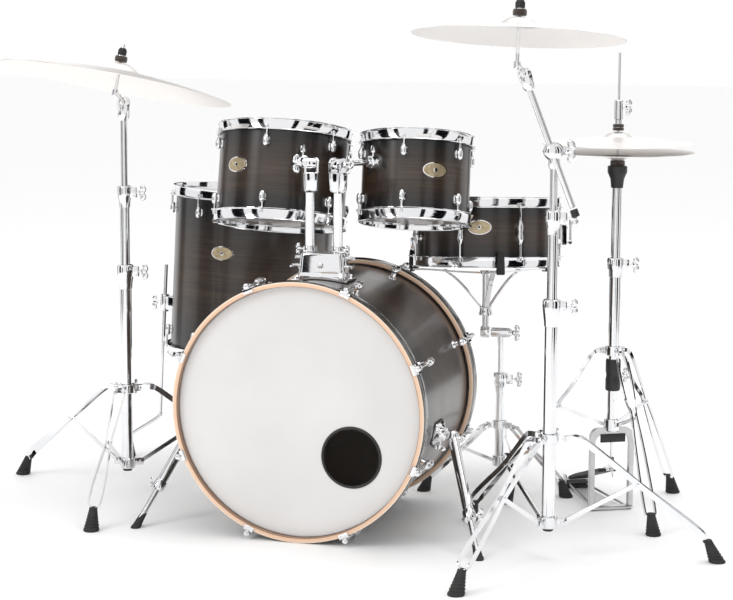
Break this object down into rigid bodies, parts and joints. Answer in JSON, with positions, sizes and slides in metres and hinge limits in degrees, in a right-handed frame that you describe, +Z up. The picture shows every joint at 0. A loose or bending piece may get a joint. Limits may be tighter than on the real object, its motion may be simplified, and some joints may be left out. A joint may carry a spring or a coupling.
{
  "type": "acoustic drum kit",
  "caption": "Acoustic drum kit: bass drum with mounted toms, floor tom and snare, with hi-hat and cymbals on adjustable stands.",
  "frame": {"origin": "floor level, under the middle of the kit's bounding box", "axes": "+Z up, -Y out of the front of the bass drum towards the audience, +X towards the hi-hat"},
  "size_m": [1.842, 1.3388, 1.2105],
  "materials": {
    "lacquered_wood": "black burst lacquer over maple",
    "maple": "natural satin",
    "chrome": "polished",
    "drum_head": "frosted film",
    "wire": "coiled wire",
    "cymbal_bronze": "pale lathed bronze"
  },
  "bodies": {
    "kit": {"bass_shell": "lacquered_wood", "bass_hoop_front": "maple", "bass_hoop_rear": "maple", "bass_head_front": "drum_head", "bass_head_batter": "drum_head", "tom_mount": "chrome", "floor_tom_shell": "lacquered_wood", "floor_tom_hoop_top": "chrome", "floor_tom_head_top": "drum_head", "floor_tom_head_and_hoop_bottom": "chrome", "snare_stand_base": "chrome", "ride_base_tube": "chrome", "crash_base_tube": "chrome", "hihat_base_stand": "chrome"},
    "spur_right": {"spur_right": "chrome"},
    "spur_left": {"spur_left": "chrome"},
    "post_large": {"tom_post_large": "chrome"},
    "arm_large": {"tom_arm_large": "chrome"},
    "tom_large": {"tom_large_shell": "lacquered_wood", "tom_large_hoop_top": "chrome", "tom_large_head_top": "drum_head", "tom_large_head_and_hoop_bottom": "chrome"},
    "post_small": {"tom_post_small": "chrome"},
    "arm_small": {"tom_arm_small": "chrome"},
    "tom_small": {"tom_small_shell": "lacquered_wood", "tom_small_hoop_top": "chrome", "tom_small_head_top": "drum_head", "tom_small_head_and_hoop_bottom": "chrome"},
    "floor_leg_1": {"floor_tom_leg_1": "chrome"},
    "floor_leg_2": {"floor_tom_leg_2": "chrome"},
    "floor_leg_3": {"floor_tom_leg_3": "chrome"},
    "snare_tube": {"snare_stand_tube": "chrome"},
    "snare": {"snare_basket": "chrome", "snare_shell": "lacquered_wood", "snare_hoop_top": "chrome", "snare_head_top": "drum_head", "snare_head_and_hoop_bottom": "chrome", "snare_wires": "wire"},
    "strainer_lever": {"snare_strainer_lever": "chrome"},
    "ride_collar": {"ride_leg_collar": "chrome"},
    "ride_leg_1": {"ride_leg_1": "chrome"},
    "ride_brace_1": {"ride_brace_1": "chrome"},
    "ride_leg_2": {"ride_leg_2": "chrome"},
    "ride_brace_2": {"ride_brace_2": "chrome"},
    "ride_leg_3": {"ride_leg_3": "chrome"},
    "ride_brace_3": {"ride_brace_3": "chrome"},
    "ride_mid": {"ride_mid_tube": "chrome"},
    "ride_upper": {"ride_upper_tube": "chrome"},
    "ride_tilter": {"ride_tilter": "chrome"},
    "ride_cymbal": {"ride_cymbal": "cymbal_bronze"},
    "crash_mid": {"crash_mid_tube": "chrome"},
    "crash_upper": {"crash_upper_tube": "chrome"},
    "crash_arm": {"crash_boom_arm": "chrome"},
    "crash_tilter": {"crash_tilter": "chrome"},
    "crash_cymbal": {"crash_cymbal": "cymbal_bronze"},
    "hat_upper": {"hihat_upper_tube": "chrome", "hihat_cymbal_bottom": "cymbal_bronze"},
    "hat_rod": {"hihat_pull_rod": "chrome", "hihat_cymbal_top": "cymbal_bronze"},
    "footboard": {"hihat_footboard": "chrome"}
  },
  "joints": [
    {"name": "spur_right_fold", "type": "hinge", "parent": "kit", "child": "spur_right", "pos_m": [0.29325, -0.1647, 0.22424], "axis": [0.9759, 0, -0.2181], "range_deg": [0, 60]},
    {"name": "spur_left_fold", "type": "hinge", "parent": "kit", "child": "spur_left", "pos_m": [-0.32645, -0.1647, 0.22424], "axis": [0.9759, 0, 0.2181], "range_deg": [0, 60]},
    {"name": "tom_large_height", "type": "slide", "parent": "kit", "child": "post_large", "axis": [0, 0, 1], "range_m": [0, 0.04]},
    {"name": "tom_large_tilt", "type": "hinge", "parent": "post_large", "child": "arm_large", "pos_m": [-0.0501, -0.1547, 0.832], "axis": [-0.839, -0.5441, 0], "range_deg": [-6, 8]},
    {"name": "tom_large_roll", "type": "hinge", "parent": "arm_large", "child": "tom_large", "pos_m": [-0.09468, -0.08596, 0.832], "axis": [-0.5441, 0.839, 0], "range_deg": [-8, 8]},
    {"name": "tom_small_height", "type": "slide", "parent": "kit", "child": "post_small", "axis": [0, 0, 1], "range_m": [0, 0.07]},
    {"name": "tom_small_tilt", "type": "hinge", "parent": "post_small", "child": "arm_small", "pos_m": [0.0169, -0.1547, 0.832], "axis": [-0.8818, 0.4717, 0], "range_deg": [-15, 6]},
    {"name": "tom_small_roll", "type": "hinge", "parent": "arm_small", "child": "tom_small", "pos_m": [0.07974, -0.03723, 0.832], "axis": [0.4717, 0.8818, 0], "range_deg": [-8, 8]},
    {"name": "floor_tom_leg_1_height", "type": "slide", "parent": "kit", "child": "floor_leg_1", "axis": [0.0346, 0.0393, 0.9986], "range_m": [-0.06, 0.03]},
    {"name": "floor_tom_leg_2_height", "type": "slide", "parent": "kit", "child": "floor_leg_2", "axis": [0.0346, 0.0393, 0.9986], "range_m": [-0.06, 0.03]},
    {"name": "floor_tom_leg_3_height", "type": "slide", "parent": "kit", "child": "floor_leg_3", "axis": [0.0346, 0.0393, 0.9986], "range_m": [-0.06, 0.03]},
    {"name": "snare_stand_height", "type": "slide", "parent": "kit", "child": "snare_tube", "axis": [0, 0, 1], "range_m": [-0.06, 0.05]},
    {"name": "snare_basket_tilt", "type": "hinge", "parent": "snare_tube", "child": "snare", "pos_m": [0.24722, 0.34137, 0.3865], "axis": [-0.995, -0.0999, 0], "range_deg": [-2, 10]},
    {"name": "snare_strainer_throw", "type": "hinge", "parent": "snare", "child": "strainer_lever", "pos_m": [0.44102, 0.42113, 0.60914], "axis": [-0.2827, 0.9544, -0.0958], "range_deg": [0, 60]},
    {"name": "ride_legs_fold", "type": "slide", "parent": "kit", "child": "ride_collar", "axis": [0, 0, 1], "range_m": [0, 0.15]},
    {"name": "ride_leg_1_fold", "type": "hinge", "parent": "ride_collar", "child": "ride_leg_1", "pos_m": [-0.58679, -0.02244, 0.264], "axis": [-0.342, -0.9397, 0], "range_deg": [0, 34.4]},
    {"name": "ride_brace_1_fold", "type": "hinge", "parent": "kit", "child": "ride_brace_1", "pos_m": [-0.58679, -0.02244, 0.08], "axis": [-0.342, -0.9397, 0], "range_deg": [-36, 0]},
    {"name": "ride_leg_2_fold", "type": "hinge", "parent": "ride_collar", "child": "ride_leg_2", "pos_m": [-0.55339, -0.06224, 0.264], "axis": [0.9848, 0.1736, 0], "range_deg": [0, 34.4]},
    {"name": "ride_brace_2_fold", "type": "hinge", "parent": "kit", "child": "ride_brace_2", "pos_m": [-0.55339, -0.06224, 0.08], "axis": [0.9848, 0.1736, 0], "range_deg": [-36, 0]},
    {"name": "ride_leg_3_fold", "type": "hinge", "parent": "ride_collar", "child": "ride_leg_3", "pos_m": [-0.53562, -0.01342, 0.264], "axis": [-0.6428, 0.766, 0], "range_deg": [0, 34.4]},
    {"name": "ride_brace_3_fold", "type": "hinge", "parent": "kit", "child": "ride_brace_3", "pos_m": [-0.53562, -0.01342, 0.08], "axis": [-0.6428, 0.766, 0], "range_deg": [-36, 0]},
    {"name": "ride_mid_height", "type": "slide", "parent": "kit", "child": "ride_mid", "axis": [0, 0, 1], "range_m": [0, 0.15]},
    {"name": "ride_upper_height", "type": "slide", "parent": "ride_mid", "child": "ride_upper", "axis": [0, 0, 1], "range_m": [0, 0.12]},
    {"name": "ride_tilt", "type": "hinge", "parent": "ride_upper", "child": "ride_tilter", "pos_m": [-0.5586, -0.0327, 0.958], "axis": [0.1483, -0.9889, 0], "range_deg": [-2, 20]},
    {"name": "ride_cymbal_swing", "type": "hinge", "parent": "ride_tilter", "child": "ride_cymbal", "pos_m": [-0.56953, -0.02274, 1.05024], "axis": [-0.8192, 0.5735, 0], "range_deg": [-6, 6], "stiffness_Nm_per_rad": 30},
    {"name": "crash_mid_height", "type": "slide", "parent": "kit", "child": "crash_mid", "axis": [0, 0, 1], "range_m": [-0.12, 0.15]},
    {"name": "crash_upper_height", "type": "slide", "parent": "crash_mid", "child": "crash_upper", "axis": [0, 0, 1], "range_m": [-0.08, 0.1]},
    {"name": "crash_boom_swing", "type": "hinge", "parent": "crash_upper", "child": "crash_arm", "pos_m": [0.5434, -0.3267, 0.884], "axis": [0, 1, 0], "range_deg": [-20, 40]},
    {"name": "crash_tilt", "type": "hinge", "parent": "crash_arm", "child": "crash_tilter", "pos_m": [0.4799, -0.3267, 1.0465], "axis": [0, 1, 0], "range_deg": [-20, 20]},
    {"name": "crash_cymbal_swing", "type": "hinge", "parent": "crash_tilter", "child": "crash_cymbal", "pos_m": [0.4648, -0.30933, 1.16435], "axis": [-0.9925, 0.1219, 0], "range_deg": [-6, 6], "stiffness_Nm_per_rad": 20},
    {"name": "hihat_height", "type": "slide", "parent": "kit", "child": "hat_upper", "axis": [0, 0, 1], "range_m": [-0.12, 0.01]},
    {"name": "hihat_rod_pull", "type": "slide", "parent": "kit", "child": "hat_rod", "axis": [0, 0, 1], "range_m": [-0.0165, 0], "stiffness_N_per_m": 700, "springref_m": 0.05},
    {"name": "hihat_footboard_press", "type": "hinge", "parent": "kit", "child": "footboard", "pos_m": [0.4814, 0.37195, 0.026], "axis": [0.866, 0.5, 0], "range_deg": [0, 4.1]}
  ],
  "couplings": [
    {"joint": "ride_leg_1_fold", "follows": "ride_legs_fold", "rad_per_m": 3.968},
    {"joint": "ride_brace_1_fold", "follows": "ride_legs_fold", "rad_per_m": -4.151},
    {"joint": "ride_leg_2_fold", "follows": "ride_legs_fold", "rad_per_m": 3.968},
    {"joint": "ride_brace_2_fold", "follows": "ride_legs_fold", "rad_per_m": -4.151},
    {"joint": "ride_leg_3_fold", "follows": "ride_legs_fold", "rad_per_m": 3.968},
    {"joint": "ride_brace_3_fold", "follows": "ride_legs_fold", "rad_per_m": -4.151},
    {"joint": "hihat_footboard_press", "follows": "hihat_rod_pull", "rad_per_m": -4.274}
  ]
}
